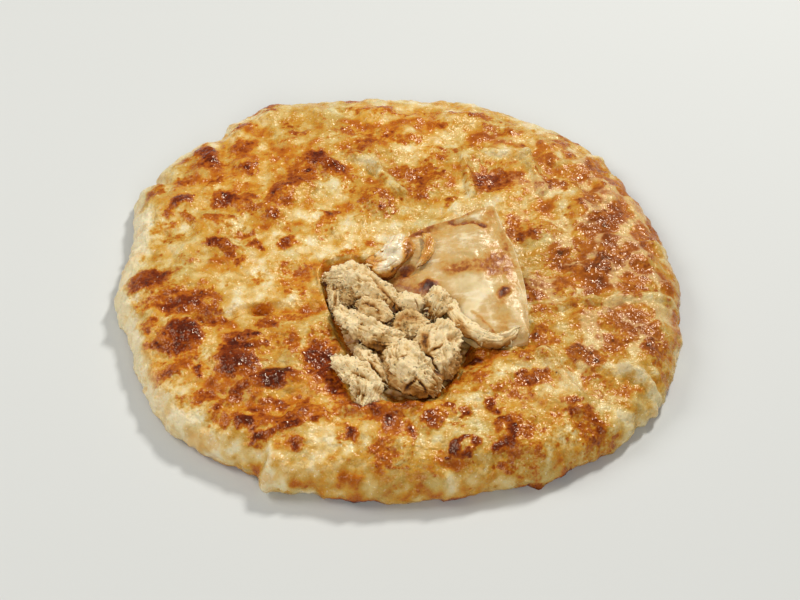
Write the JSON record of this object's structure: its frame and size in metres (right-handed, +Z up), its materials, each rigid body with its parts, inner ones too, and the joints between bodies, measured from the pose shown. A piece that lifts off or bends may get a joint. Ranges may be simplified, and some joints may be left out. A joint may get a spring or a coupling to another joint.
{
  "type": "chicken pie",
  "caption": "Round flat chicken pie with a thin browned dough crust, cut open near the middle, a folded-back flap and torn chicken heaped in the opening.",
  "frame": {"origin": "middle of the flat underside, which is the middle of the whole outline seen from above", "axes": "+Z up through the pie, +X to the right of the cut with the folded flap, +Y away from the side that the cut opens towards"},
  "size_m": [0.28, 0.2798, 0.0365],
  "materials": {
    "crust": "baked dough, buttery, cream between orange-brown patches",
    "filling": "moist shredded chicken and gravy",
    "chicken": "torn boiled chicken, fibrous, with flecks of herbs",
    "skin": "soft pale chicken skin and unbaked dough, moist"
  },
  "bodies": {
    "root": {"crust": "crust", "filling": "filling", "chicken_shaded": "chicken", "chicken_left": "chicken", "chicken_low": "chicken", "chicken_inner": "chicken", "chicken_flat": "chicken", "chicken_back": "chicken", "chicken_front": "chicken", "chicken_right": "chicken", "chicken_large": "chicken", "chicken_pale": "chicken", "chicken_smooth": "chicken", "chicken_knob": "chicken", "chicken_finger": "chicken", "chicken_skin": "skin", "dough_curl": "skin"}
  },
  "joints": []
}
